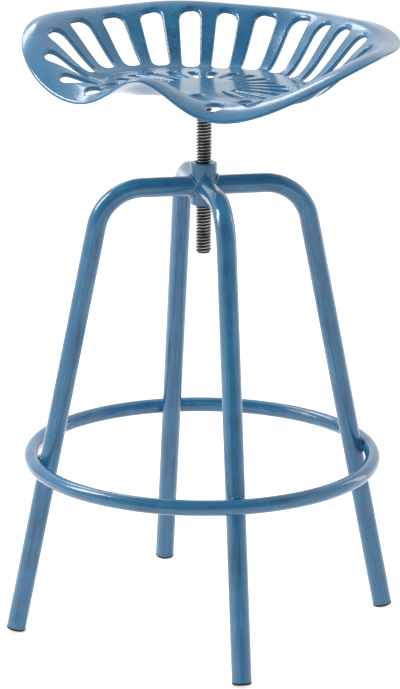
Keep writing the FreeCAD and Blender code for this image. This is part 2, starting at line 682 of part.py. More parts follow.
BLOCK_MARGIN = 2 * GRID_STEP
low_x = min(p.x for p in rim_outline) - BLOCK_MARGIN
high_x = max(p.x for p in rim_outline) + BLOCK_MARGIN
low_y = min(p.y for p in rim_outline) - BLOCK_MARGIN
high_y = max(p.y for p in rim_outline) + BLOCK_MARGIN
columns = int((high_x - low_x) / GRID_STEP) + 2
rows = int((high_y - low_y) / GRID_STEP) + 2


def height_surface(height):
    """Smooth surface through the heights of a formula on a regular grid."""
    grid = []
    for i in range(columns):
        x = low_x + (high_x - low_x) * i / (columns - 1)
        line = []
        for j in range(rows):
            y = low_y + (high_y - low_y) * j / (rows - 1)
            line.append(V(x, y, height(x, y)))
        grid.append(line)
    surface = Part.BSplineSurface()
    surface.interpolate(grid)
    return surface


def between(upper, lower):
    """Solid between two surfaces over the same rectangle of the plan."""
    faces = [upper.toShape(), lower.toShape()]
    tops = [upper.uIso(0), upper.uIso(1), upper.vIso(0), upper.vIso(1)]
    bottoms = [lower.uIso(0), lower.uIso(1), lower.vIso(0), lower.vIso(1)]
    for top, bottom in zip(tops, bottoms):
        faces.append(Part.makeRuledSurface(top.toShape(), bottom.toShape()))
    shell = Part.makeShell(faces)
    shell.sewShape()
    return Part.makeSolid(shell)


slab = between(height_surface(seat_top), height_surface(seat_under))
rim_face = Part.Face(Part.Wire([rim_curve.toShape()]))
rim_prism = rim_face.extrude(V(0, 0, size("seat_height") * 2))
skin = slab.common(rim_prism).Solids[0]
seat_skin = plain_feature("seat_skin", skin)
pad = cylinder("seat_pad", "Sizes.pad_radius", "Sizes.pad_height", z="Sizes.plate_top")
seat_casting = fuse("seat_casting", [seat_skin, pad])


# Openings of the seat: straight down through the casting

def prism(wire):
    """Upright prism through the whole seat."""
    tool = Part.Face(wire).extrude(V(0, 0, size("seat_height")))
    tool.translate(V(0, 0, size("plate_top")))
    return tool


def rounded(corners, radii):
    """Closed wire through the corners, each rounded by its own radius."""
    arcs = []
    for before, corner, after, radius in zip(corners[-1:] + corners[:-1], corners,
                                             corners[1:] + corners[:1], radii):
        back = V(before - corner).normalize()
        ahead = V(after - corner).normalize()
        half = back.getAngle(ahead) / 2
        reach = radius / math.tan(half)
        crown = corner + (back + ahead).normalize() * (radius / math.sin(half) - radius)
        arcs.append(Part.Arc(corner + back * reach, crown, corner + ahead * reach).toShape())
    edges = []
    for arc, following in zip(arcs, arcs[1:] + arcs[:1]):
        edges += [arc, Part.makeLine(arc.Vertexes[-1].Point, following.Vertexes[0].Point)]
    return Part.Wire(edges)


def long_slot(angle):
    """Tapered slot with rounded corners along a radius of the dish."""
    inner = rim_point(angle, size("slot_start"))
    outer = rim_point(angle, size("slot_end"))
    along = (outer - inner).normalize()
    across = V(along.y, -along.x, 0)
    pitch = math.radians(size("slot_pitch"))
    radius = cosine_sum("rim_radius", angle)
    inner_half = across * (size("slot_fill_start") * pitch * size("slot_start") * radius / 2)
    outer_half = across * (size("slot_fill_end") * pitch * size("slot_end") * radius / 2)
    corners = [inner + inner_half, outer + outer_half, outer - outer_half, inner - inner_half]
    near = size("slot_corner")
    far = size("slot_end_corner")
    return prism(rounded(corners, [near, far, far, near]))


def short_slot(angle, end_share):
    """Drop-shaped slot that points at the screw axis."""
    tip = rim_point(angle, end_share)
    along = V(tip).normalize()
    across = V(along.y, -along.x, 0)
    narrow = size("short_slot_narrow") / 2
    wide = size("short_slot_wide") / 2
    start = along * (size("short_slot_start") + narrow)
    end = tip - along * wide
    lean_out = math.asin((wide - narrow) / (end - start).Length)
    forward = -math.sin(lean_out)
    sideways = math.cos(lean_out)
    reach = across * sideways + along * forward
    mirror = across * -sideways + along * forward
    tail = Part.Arc(start + mirror * narrow, start - along * narrow, start + reach * narrow)
    nose = Part.Arc(end + reach * wide, end + along * wide, end + mirror * wide)
    edges = [tail.toShape(), Part.makeLine(start + reach * narrow, end + reach * wide),
             nose.toShape(), Part.makeLine(end + mirror * wide, start + mirror * narrow)]
    return prism(Part.Wire(edges))


slots = []
for side in (-1, 1):
    for number in range(LONG_SLOTS_PER_SIDE):
        slots.append(long_slot(side * math.radians((number + 0.5) * size("slot_pitch"))))
    for number in range(SHORT_SLOTS_PER_SIDE):
        share = size("short_slot_end")
        if number == SHORT_SLOTS_PER_SIDE - 1:
            share = size("last_short_slot_end")
        slots.append(short_slot(side * math.radians((number + 0.5) * size("slot_pitch")), share))
seat_slots = plain_feature("seat_slots", Part.makeCompound(slots))

tools = [seat_slots]
for hole in ("thigh_hole", "side_hole", "pommel_hole"):
    for side in (-1, 1):
        name = "%s_%s" % (hole, "right" if side > 0 else "left")
        tools.append(cylinder(name, "Sizes.%s / 2" % hole, "Sizes.seat_height",
                              "%d * Sizes.%s_across / 2" % (side, hole),
                              "-Sizes.%s_forward" % hole, "Sizes.plate_top"))
tools += bolt_ring("bolt_socket", "socket_radius", "socket_depth", "plate_top")
all_tools = doc.addObject("Part::Compound", "seat_tools")
all_tools.Links = tools
nodes["seat_pan"] = cut("seat_pan", seat_casting, all_tools)

doc.recompute()

# Check every object, then write one file for each piece
for item in doc.Objects:
    if "Invalid" in item.State or "Error" in item.State:
        raise RuntimeError("object %s did not compute: %s" % (item.Name, item.State))
os.makedirs("parts", exist_ok=True)
for name, item in sorted(nodes.items()):
    item.Label = name
    shape = item.Shape
    if shape.isNull() or not shape.isValid() or shape.Volume <= 0:
        raise RuntimeError("shape of %s is not sound" % name)
    shape.exportStep("parts/%s.step" % name)
    box = shape.BoundBox
    print("%-24s %10.1f mm3  x %.1f..%.1f  y %.1f..%.1f  z %.1f..%.1f  solids %d" % (
        name, shape.Volume, box.XMin, box.XMax, box.YMin, box.YMax, box.ZMin, box.ZMax,
        len(shape.Solids)))
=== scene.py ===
import math
import bpy
import numpy as np
from mathutils import Matrix, Vector
from mathutils.geometry import delaunay_2d_cdt


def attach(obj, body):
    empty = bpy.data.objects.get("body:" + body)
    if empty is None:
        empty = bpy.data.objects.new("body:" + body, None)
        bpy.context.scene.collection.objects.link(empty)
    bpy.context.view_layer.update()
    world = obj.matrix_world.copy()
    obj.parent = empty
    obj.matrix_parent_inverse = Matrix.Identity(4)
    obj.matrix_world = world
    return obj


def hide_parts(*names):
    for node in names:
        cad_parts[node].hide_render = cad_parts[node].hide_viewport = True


# Blue screw-height stool with a pierced bucket seat, in a white studio.
# Shapes are worked out in millimetres and stored in metres. Z is up, the seat faces -Y.

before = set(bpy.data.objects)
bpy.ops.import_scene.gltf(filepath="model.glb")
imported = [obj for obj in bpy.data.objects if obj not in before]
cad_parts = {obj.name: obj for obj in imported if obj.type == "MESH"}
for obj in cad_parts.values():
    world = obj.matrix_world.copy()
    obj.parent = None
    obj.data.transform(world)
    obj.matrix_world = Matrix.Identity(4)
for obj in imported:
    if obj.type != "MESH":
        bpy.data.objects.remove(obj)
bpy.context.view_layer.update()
MM = 0.001

# Frame sizes, the same as the construction
TUBE_R, FOOT_R, LEAN = 12.5, 245.0, math.radians(11.46)
ARM_Z, BEND_R = 580.3, 60.0
RING_R, RING_TUBE_R, RING_Z = 220.0, 9.8, 225.1
HUB_R, HUB_LOW, HUB_TOP = 16.85, 556.3, 610.3
PLUG_HEAD, PLUG_EDGE = 3.0, 1.0
SCREW_R, PITCH, ROOT_R = 10.0, 4.0, 7.75
SCREW_LENGTH, SCREW_NECK, SCREW_GAP = 203.0, 9.5, 0.5
SEAT_Z, WALL = 709.3, 6.0
PAD_R, PAD_DEPTH = 43.0, 7.0
PLATE_R, PLATE_DEPTH = 42.0, 6.0
PLATE_TOP = SEAT_Z - WALL - PAD_DEPTH
PLATE_LOW = PLATE_TOP - PLATE_DEPTH
NECK_LOW = PLATE_TOP - SCREW_NECK
SCREW_LOW = PLATE_TOP - SCREW_LENGTH
BUMP_R, BUMP_LOW = 17.0, PLATE_LOW - 2.5
BOLT_R, BOLT_CIRCLE_R, BOLT_APOTHEM, BOLT_HEAD = 4.0, 29.0, 6.5, 5.3
WASHER_R, WASHER_DEPTH = 7.0, 1.6
LEGS = {"front_right": -45, "rear_right": 45, "rear_left": 135, "front_left": 225}
FOOT_Z = (TUBE_R - PLUG_EDGE) * math.sin(LEAN) + PLUG_EDGE * (1 - math.cos(LEAN))


# Shader building

class Flow:
    """A shader value; arithmetic on it adds math nodes to its material."""

    def __init__(self, tree, socket):
        self.tree = tree
        self.socket = socket

    def math(self, operation, *others):
        node = self.tree.nodes.new("ShaderNodeMath")
        node.operation = operation
        for slot, value in zip(node.inputs, (self,) + others):
            feed(self.tree, slot, value)
        return Flow(self.tree, node.outputs[0])

    def reverse(self, operation, other):
        node = self.tree.nodes.new("ShaderNodeMath")
        node.operation = operation
        feed(self.tree, node.inputs[0], other)
        feed(self.tree, node.inputs[1], self)
        return Flow(self.tree, node.outputs[0])

    def __add__(self, other):
        return self.math("ADD", other)

    def __radd__(self, other):
        return self.reverse("ADD", other)

    def __sub__(self, other):
        return self.math("SUBTRACT", other)

    def __rsub__(self, other):
        return self.reverse("SUBTRACT", other)

    def __mul__(self, other):
        return self.math("MULTIPLY", other)

    def __rmul__(self, other):
        return self.reverse("MULTIPLY", other)

    def __truediv__(self, other):
        return self.math("DIVIDE", other)

    def clamp(self, low=0.0, high=1.0):
        return self.math("MAXIMUM", low).math("MINIMUM", high)

    def ramp(self, low, high):
        """0 below low, 1 above high, eased between."""
        share = ((self - low) / (high - low)).clamp()
        return share * share * (3.0 - 2.0 * share)


def feed(tree, slot, value):
    """Link a value to a socket, or set the socket."""
    if isinstance(value, Flow):
        tree.links.new(value.socket, slot)
    else:
        slot.default_value = value


def add_node(tree, kind, output=0, settings=None, **inputs):
    """Output of a new node. Its settings are set first, then its sockets are set or linked."""
    made = tree.nodes.new("ShaderNode" + kind)
    for key, value in (settings or {}).items():
        setattr(made, key, value)
    for key, value in inputs.items():
        feed(tree, made.inputs[key.replace("_", " ")], value)
    return Flow(tree, made.outputs[output])


def seen_straight(tree):
    """1 for rays from the camera, from mirroring and from see-through surfaces, else 0."""
    camera, mirror, through = (add_node(tree, "LightPath", output=name) for name in
                               ("Is Camera Ray", "Is Glossy Ray", "Is Transmission Ray"))
    return camera.math("MAXIMUM", mirror).math("MAXIMUM", through)


class Paint:
    """A material with its principled shader and methods for the nodes that feed it."""

    def __init__(self, name, **constants):
        self.material = bpy.data.materials.new(name)
        self.material.use_nodes = True
        self.tree = self.material.node_tree
        self.shader = self.tree.nodes["Principled BSDF"]
        for key, value in constants.items():
            self.shader.inputs[key.replace("_", " ")].default_value = value

    def node(self, kind, **choices):
        return add_node(self.tree, kind, **choices)

    def space(self, scale=(1, 1, 1), uv=None):
        """Object coordinates, or an own UV map, stretched by a scale."""
        if uv:
            source = self.node("UVMap", settings={"uv_map": uv})
        else:
            source = self.node("TexCoord", output="Object")
        return self.node("Mapping", Vector=source, Scale=scale)

    def noise(self, where, scale, detail=3.0, rough=0.5, warp=0.0):
        return self.node("TexNoise", Vector=where, Scale=scale, Detail=detail, Roughness=rough,
                         Distortion=warp)

    def mix(self, share, first, second):
        """First colour where the share is 0, second where it is 1."""
        made = self.tree.nodes.new("ShaderNodeMix")
        made.data_type = "RGBA"
        feed(self.tree, made.inputs[0], share)
        feed(self.tree, made.inputs[6], first)
        feed(self.tree, made.inputs[7], second)
        return Flow(self.tree, made.outputs[2])

    def give(self, name, value):
        feed(self.tree, self.shader.inputs[name], value)

    def bump(self, height, distance, strength):
        self.give("Normal", self.node("Bump", Height=height, Distance=distance,
                                      Strength=strength))


def rgb(red, green, blue):
    """Linear colour of display values from 0 to 255."""
    values = [v / 255 for v in (red, green, blue)]
    linear = [v / 12.92 if v <= 0.04045 else ((v + 0.055) / 1.055) ** 2.4 for v in values]
    return (*linear, 1.0)


# Mesh building

def unit(vectors):
    """Vectors divided by their own lengths."""
    length = np.linalg.norm(vectors, axis=-1, keepdims=True)
    return vectors / np.maximum(length, 1e-12)


def build(name, parts, material, body, nodes):
    """One object from parts: (points in mm, triangles or quads, normals or None, uv or None)."""
    points, loops, starts, totals, normals, uvs = [], [], [], [], [], []
    offset, loop_at = 0, 0
    for own_points, faces, normal, uv in parts:
        points.append(own_points)
        for group in faces:
            group = np.asarray(group)
            count, corners = group.shape
            loops.append(group.ravel() + offset)
            starts.append(loop_at + corners * np.arange(count))
            totals.append(np.full(count, corners))
            loop_at += group.size
            if uv is not None:
                uvs.append(uv[group.ravel()])
        normals.append(normal)
        offset += len(own_points)
    points = np.concatenate(points) * MM
    loops = np.concatenate(loops)
    mesh = bpy.data.meshes.new(name)
    mesh.vertices.add(len(points))
    mesh.vertices.foreach_set("co", points.astype(np.float32).ravel())
    mesh.loops.add(len(loops))
    mesh.loops.foreach_set("vertex_index", loops.astype(np.int32))
    starts = np.concatenate(starts)
    mesh.polygons.add(len(starts))
    mesh.polygons.foreach_set("loop_start", starts.astype(np.int32))
    mesh.polygons.foreach_set("loop_total", np.concatenate(totals).astype(np.int32))
    mesh.polygons.foreach_set("use_smooth", np.ones(len(starts), bool))
    if uvs:
        layer = mesh.uv_layers.new(name="run")
        layer.data.foreach_set("uv", np.concatenate(uvs).astype(np.float32).ravel())
    mesh.update()
    mesh.validate()
    if all(normal is not None for normal in normals):
        mesh.normals_split_custom_set_from_vertices(unit(np.concatenate(normals)).tolist())
    mesh.materials.append(material)
    thing = bpy.data.objects.new(name, mesh)
    bpy.context.scene.collection.objects.link(thing)
    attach(thing, body)
    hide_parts(*nodes)


def grid_faces(rows, columns, closed=False):
    """Quads of a grid of rows by columns, joined round the columns if closed."""
    i = np.arange(rows - 1)[:, None]
    j = np.arange(columns if closed else columns - 1)[None, :]
    k = (j + 1) % columns
    return np.stack([i * columns + j + 0 * k, i * columns + k, (i + 1) * columns + k,
                     (i + 1) * columns + j + 0 * k], -1).reshape(-1, 4)


def turn(points, degrees):
    """Points turned about the vertical axis."""
    a = math.radians(degrees)
    c, s = math.cos(a), math.sin(a)
    x, y, z = points[..., 0], points[..., 1], points[..., 2]
    return np.stack([c * x - s * y, s * x + c * y, z], -1)


def profile_normals(profile):
    """Normals of a (radius, height) line, to its right as it runs upwards."""
    step = np.gradient(profile, axis=0)
    return unit(np.stack([step[:, 1], -step[:, 0]], -1))


def round_corners(corners, radii, steps=5):
    """A line with every inner corner replaced by an arc of its given radius or less."""
    corners = [np.array(c, float) for c in corners]
    radii = np.broadcast_to(radii, len(corners) - 2)
    line = [corners[0]]
    for before, corner, after, radius in zip(corners, corners[1:], corners[2:], radii):
        a, b = unit(before - corner), unit(after - corner)
        half = math.acos(float(np.clip(a @ b, -1, 1))) / 2
        reach = min(radius / math.tan(half), np.linalg.norm(before - corner) * 0.49,
                    np.linalg.norm(after - corner) * 0.49)
        real = reach * math.tan(half)
        centre = corner + unit(a + b) * real / math.sin(half)
        start, end = corner + a * reach - centre, corner + b * reach - centre
        for share in np.linspace(0, 1, steps):
            blend = start * (1 - share) + end * share
            line.append(centre + unit(blend) * real)
    line.append(corners[-1])
    return np.array(line)


def turned(profile, columns=64):
    """Surface of revolution: the point at radius r and height z is carried round the axis."""
    angle = np.linspace(0, 2 * np.pi, columns, endpoint=False)
    r, z = profile[:, 0][:, None], profile[:, 1][:, None]
    points = np.stack([r * np.cos(angle), r * np.sin(angle), z + 0 * angle], -1)
    return points.reshape(-1, 3), [grid_faces(len(profile), columns, True)], None, None


# Seat form: a height over the plan, given by the angle from the back and the share of the rim

RIM_RADIUS = np.array([211.3, 60.3, -32.4, 1.3, 8.3, -0.3, 1.8, 1.9, 1.0])
RIM_RISE = np.array([39.3, 35.2, -4.8, -13.5, 11.7, -5.2, -1.5, 0.0, 0.9])
DISH_Y = -21.0

# Each has its value at the back, then what the parts of the rim named in seat_top add to it
RISE_START = (0.60, -0.40, -0.077)
RISE_END = (0.92, 0.08, 0.03, 0.447)
ROLL_DROP = (5.5, 1.0, 1.2, 98.2)
ROLL_WIDTH = (0.236, 0.094, 0.578)
FLOOR_FALL = (9.0, -6.0)
THINNING, THINNING_START = 0.5, 0.86


def cosines(terms, angle):
    """Sum of terms times the cosines of multiples of the angle."""
    return np.cos(np.asarray(angle)[..., None] * np.arange(len(terms))) @ terms


def rim_share(x, y):
    """Angle from the back, and distance from the dish's centre as a share of the rim radius."""
    angle = np.arctan2(x, y - DISH_Y)
    return angle, np.hypot(x, y - DISH_Y) / cosines(RIM_RADIUS, angle)


def eased(value, start, end):
    """0 up to start, 1 from end on, and 3s^2 - 2s^3 of the share s of the way between."""
    share = np.clip((value - start) / (end - start), 0, 1)
    return share * share * (3 - 2 * share)


def added(terms, *parts):
    """First term, plus every other term times its part."""
    return terms[0] + sum(term * part for term, part in zip(terms[1:], parts))


def seat_top(x, y):
    """Upper surface: a shallow floor that climbs to the rim line with an eased step, less the
    drop of the rolled edge, which grows with the square of the way into the roll. Front is 1
    at the front and 0 at the back, side is 1 at the sides, pommel is 1 close to the front's
    middle, and lobe is pommel times side, for the two thigh lobes."""
    angle, reach = rim_share(x, y)
    front = (0.5 - 0.5 * np.cos(angle)) ** 2
    side = np.sin(angle) ** 2
    pommel = front ** 3
    lobe = pommel * side
    climb = eased(reach, added(RISE_START, pommel, side), added(RISE_END, front, side, lobe))
    drop = added(ROLL_DROP, front, front * side, lobe)
    width = added(ROLL_WIDTH, front, lobe)
    rolled = np.maximum((reach - 1 + width) / width, 0)
    rolled = np.where(rolled > 1, 2 * rolled - 1, rolled ** 2)
    floor = -added(FLOOR_FALL, front) * reach ** 2
    wall = cosines(RIM_RISE, angle) + drop
    return SEAT_Z + floor * (1 - climb) + wall * climb - drop * rolled


def wall_depth(x, y):
    """Thickness of the casting: even, then thinner by a share at the rim, with an eased step."""
    return WALL * (1 - THINNING * eased(rim_share(x, y)[1], THINNING_START, 1))


def seat_normal(x, y):
    """Upward normal of the upper surface, from central differences."""
    h = 0.5
    gx = (seat_top(x + h, y) - seat_top(x - h, y)) / (2 * h)
    gy = (seat_top(x, y + h) - seat_top(x, y - h)) / (2 * h)
    return unit(np.stack([-gx, -gy, np.ones_like(gx)], -1))


def rim_point(angle, share=1.0):
    """Plan point at an angle from the back and a share of the rim radius from the centre."""
    radius = share * cosines(RIM_RADIUS, angle)
    return np.stack([radius * np.sin(angle), radius * np.cos(angle) + DISH_Y], -1)


def signed_area(line):
    """Twice the area in a closed line, above 0 where the line runs anticlockwise."""
    after = np.roll(line, -1, 0)
    return np.sum(line[:, 0] * after[:, 1] - after[:, 0] * line[:, 1])


def resample(line, step):
    """Closed line with even spacing close to a step, and its outward normals."""
    loop = np.vstack([line, line[:1]])
    length = np.concatenate([[0], np.cumsum(np.linalg.norm(np.diff(loop, axis=0), axis=1))])
    count = int(round(length[-1] / step))
    at = np.linspace(0, length[-1], count, endpoint=False)
    even = np.stack([np.interp(at, length, loop[:, k]) for k in range(2)], -1)
    tangent = unit(np.roll(even, -1, 0) - np.roll(even, 1, 0))
    outward = np.stack([tangent[:, 1], -tangent[:, 0]], -1) * np.sign(signed_area(even))
    return even, outward


# Openings: ends and fills of the long slots are shares of the rim radius and of the pitch
SLOT_PITCH = math.radians(14.1)
LONG_START, LONG_END = 0.61, 0.862
LONG_FILL_START, LONG_FILL_END = 0.60, 0.56
LONG_CORNERS = (10.5, 10.5, 8.0, 8.0)
SHORT_START, SHORT_NARROW, SHORT_WIDE = 48.0, 2.5, 6.5
SHORT_ENDS = [0.47] * 7 + [0.38]
HOLES = [(88.6, -112.4, 11.8), (99.0, -57.2, 10.4), (30.0, -61.0, 9.0)]


def long_slot(angle):
    """Tapered slot along a radius of the dish, with rounded corners. Its ends lie at shares of
    the rim radius, and its widths are shares of the pitch there."""
    inner, outer = rim_point(angle, LONG_START), rim_point(angle, LONG_END)
    radius = cosines(RIM_RADIUS, angle)
    along = unit(outer - inner)
    across = np.array([along[1], -along[0]])
    a = across * LONG_FILL_START * SLOT_PITCH * LONG_START * radius / 2
    b = across * LONG_FILL_END * SLOT_PITCH * LONG_END * radius / 2
    corners = [(inner + a + outer + b) / 2, outer + b, outer - b, inner - a, inner + a,
               (inner + a + outer + b) / 2]
    return round_corners(corners, LONG_CORNERS, 9)[:-1]


def short_slot(angle, share):
    """Drop shape that points at the screw axis: the hull of a small and a large circle."""
    tip = rim_point(angle, share)
    along = unit(tip)
    narrow, wide = SHORT_NARROW, SHORT_WIDE
    start, end = along * (SHORT_START + narrow), tip - along * wide
    lean = math.asin((wide - narrow) / np.linalg.norm(end - start))
    heading = math.atan2(along[1], along[0])
    line = []
    for centre, radius, low, high in ((end, wide, -math.pi / 2 - lean, math.pi / 2 + lean),
                                      (start, narrow, math.pi / 2 + lean,
                                       1.5 * math.pi - lean)):
        for a in np.linspace(low, high, 17):
            line.append(centre + radius * np.array([math.cos(heading + a),
                                                    math.sin(heading + a)]))
    return np.array(line)


def round_hole(x, y, radius):
    """Circle about a place in the plan."""
    a = np.linspace(0, 2 * np.pi, 48, endpoint=False)
    return np.stack([x + radius * np.cos(a), y + radius * np.sin(a)], -1)


# Radii of the rounded edges, and the spacing and reach of the mesh's points in the plan
LONG_EDGE, SMALL_EDGE, RIM_EDGE = 2.9, 2.1, 1.45
EDGE_STEP, FILL_STEP, FILL_GAP = 2.2, 4.4, 2.6
FILL_WIDE, FILL_FRONT, FILL_BACK, FILL_SHARE = 260, 180, 240, 0.97
MOST_STRETCH = 1.8
openings = []
for side in (-1, 1):
    for number in range(9):
        openings.append((long_slot(side * (number + 0.5) * SLOT_PITCH), LONG_EDGE))
    for number, end in enumerate(SHORT_ENDS):
        openings.append((short_slot(side * (number + 0.5) * SLOT_PITCH, end), SMALL_EDGE))
    for x, y, radius in HOLES:
        openings.append((round_hole(side * x, y, radius), SMALL_EDGE))


def seat_mesh():
    """Upper and lower sheets over one plan triangulation, joined by upright walls.

    The plan is laced with rings parallel to every edge. A ring at angle f of the rounding lies
    r(1 - sin f) from the edge and r(1 - cos f) below the sheet, and its normal turns by f from
    the sheet's normal to the edge's outward direction.
    """
    turns = np.radians([0, 18, 36, 54, 72, 90])
    plan, down, lean_in, facing, edges, rings = [], [], [], [], [], []
    edge_loops = []
    total = 0
    rim = rim_point(np.linspace(0, 2 * np.pi, 1440, endpoint=False))
    outlines = [(loop, radius, False) for loop, radius in openings] + [(rim, RIM_EDGE, True)]
    for loop, radius, is_rim in outlines:
        line, outward = resample(loop, EDGE_STEP)
        inside = -outward if is_rim else outward
        layers = [(radius * (1 - math.sin(f)), f) for f in turns]
        layers += [(radius * 1.9, 0.0)]
        if is_rim:
            layers += [(radius * 4.0, 0.0), (radius * 7.0, 0.0)]
        n = len(line)
        for distance, f in layers:
            plan.append(line + inside * distance)
            down.append(np.full(n, radius * (1 - math.cos(f))))
            lean_in.append(np.full(n, f))
            facing.append(-inside)
            ring = total + np.arange(n)
            edges.append(np.stack([ring, np.roll(ring, -1)], -1))
            is_edge = distance < 1e-9 or f == turns[-1]
            rings.append(np.full(n, len(edge_loops) if is_edge else -1))
            if is_edge:
                edge_ring = ring
            total += n
        edge_loops.append(edge_ring)
    fixed = np.concatenate(plan)
    # Even filling between the rings
    gx, gy = np.meshgrid(np.arange(-FILL_WIDE, FILL_WIDE + 1, FILL_STEP),
                         np.arange(-FILL_FRONT, FILL_BACK, FILL_STEP * 0.866))
    gx = gx + (np.arange(len(gx)) % 2)[:, None] * FILL_STEP / 2
    fill = np.stack([gx.ravel(), gy.ravel()], -1)
    fill = fill[rim_share(fill[:, 0], fill[:, 1])[1] < FILL_SHARE]
    near = np.concatenate([np.min(np.linalg.norm(fixed[None] - block[:, None], axis=2), axis=1)
                           for block in np.array_split(fill, 60)])
    fill = fill[near > FILL_GAP]
    for loop, _ in openings:
        centre = loop.mean(0)
        close = np.linalg.norm(fill - centre, axis=1) < 60
        ahead = np.roll(loop, -1, 0) - loop
        rel = fill[close][:, None] - loop[None]
        cross = ((ahead[None, :, 0] * rel[..., 1] - ahead[None, :, 1] * rel[..., 0])
                 * np.sign(signed_area(loop)))
        keep = np.ones(len(fill), bool)
        keep[np.where(close)[0][np.all(cross > 0, axis=1)]] = False
        fill = fill[keep]
    m = len(fill)
    plan = np.concatenate([fixed, fill])
    down = np.concatenate(down + [np.zeros(m)])
    lean_in = np.concatenate(lean_in + [np.zeros(m)])
    facing = np.concatenate(facing + [np.zeros((m, 2))])
    rings = np.concatenate(rings + [np.full(m, -1)])
    result = delaunay_2d_cdt([Vector(p) for p in plan.tolist()],
                             np.concatenate(edges).tolist(), [], 0, 1e-6)
    made, origin = result[0], result[3]
    index = np.array([ids[0] if ids else -1 for ids in origin])
    if (index < 0).any() or len(made) != len(plan):
        print("seat plan: rings cross", int((index < 0).sum()), len(made), len(plan))
    tris = index[np.array(result[2])]
    tris = tris[(tris >= 0).all(1)]
    group = rings[tris]
    tris = tris[~((group[:, 0] >= 0) & (group[:, 0] == group[:, 1])
                  & (group[:, 1] == group[:, 2]))]
    a, b, c = plan[tris[:, 0]], plan[tris[:, 1]], plan[tris[:, 2]]
    turn_way = (b - a)[:, 0] * (c - a)[:, 1] - (b - a)[:, 1] * (c - a)[:, 0]
    tris[turn_way < 0] = tris[turn_way < 0][:, ::-1]
    tris = tris[np.abs(turn_way) > 1e-7]

    x, y = plan[:, 0], plan[:, 1]
    normal = seat_normal(x, y)
    height = seat_top(x, y)
    stretch = np.minimum(1 / normal[:, 2], MOST_STRETCH)
    edge_dir = np.column_stack([facing, np.zeros(len(plan))])
    f = lean_in[:, None]
    top = np.column_stack([x, y, height - down])
    low = np.column_stack([x, y, height - wall_depth(x, y) * stretch + down])
    top_normal = unit(np.cos(f) * normal + np.sin(f) * edge_dir)
    low_normal = unit(-np.cos(f) * normal + np.sin(f) * edge_dir)
    count = len(plan)
    walls = []
    for ring in edge_loops:
        follower = np.roll(ring, -1)
        quad = np.stack([ring, follower, follower + count, ring + count], -1)
        step_dir = plan[follower[0]] - plan[ring[0]]
        way = step_dir[0] * facing[ring[0], 1] - step_dir[1] * facing[ring[0], 0]
        walls.append(quad if way > 0 else quad[:, ::-1])
    points = np.concatenate([top, low])
    faces = [tris, tris[:, ::-1] + count, np.concatenate(walls)]
    return points, faces, np.concatenate([top_normal, low_normal]), None


def pad_mesh():
    """Bolting pad under the seat: a turned disc that flares where it meets the pan."""
    corners = [(0.0, PLATE_TOP), (PAD_R, PLATE_TOP), (PAD_R, PLATE_TOP + 6.5),
               (PAD_R + 5.5, PLATE_TOP + 8.3)]
    profile = round_corners(corners, 2.0, 6)
    profile[0, 0] = 0.01
    points, faces, _, _ = turned(profile, 96)
    slope = profile_normals(profile)
    angle = np.linspace(0, 2 * np.pi, 96, endpoint=False)
    normal = np.stack([slope[:, :1] * np.cos(angle), slope[:, :1] * np.sin(angle),
                       slope[:, 1:] + 0 * angle], -1)
    return points, faces, normal.reshape(-1, 3), None


# Tubes

ARM_START, ARM_STEPS, BEND_STEPS, SHIN_STEPS = 13.0, 12, 36, 60


def swept_tube(path, side, radius, columns):
    """Round tube along a path: at each path point a circle in the plane of the side direction
    and the direction square to both side and path."""
    tangent = unit(np.gradient(path, axis=0))
    upper = unit(np.cross(side, tangent))
    angle = np.linspace(0, 2 * np.pi, columns, endpoint=False)[None, :, None]
    normal = np.cos(angle) * upper[:, None] + np.sin(angle) * side[:, None]
    return path[:, None] + radius[..., None] * normal, normal


def leg_path():
    """Axis of a leg in its own plane: straight arm, circular bend, straight leaning leg."""
    corner = FOOT_R - (ARM_Z - FOOT_Z) * math.tan(LEAN)
    trim = BEND_R * math.tan((math.pi / 2 - LEAN) / 2)
    arm = [(x, 0, ARM_Z)
           for x in np.linspace(ARM_START, corner - trim, ARM_STEPS, endpoint=False)]
    arc = [(corner - trim + BEND_R * math.sin(a), 0, ARM_Z - BEND_R + BEND_R * math.cos(a))
           for a in np.linspace(0, math.pi / 2 - LEAN, BEND_STEPS)]
    end = np.array([FOOT_R - PLUG_HEAD * math.sin(LEAN), 0, FOOT_Z + PLUG_HEAD * math.cos(LEAN)])
    start = np.array(arc[-1])
    shin = [tuple(start + (end - start) * s) for s in np.linspace(0, 1, SHIN_STEPS + 1)[1:]]
    return np.array(arm + arc + shin)


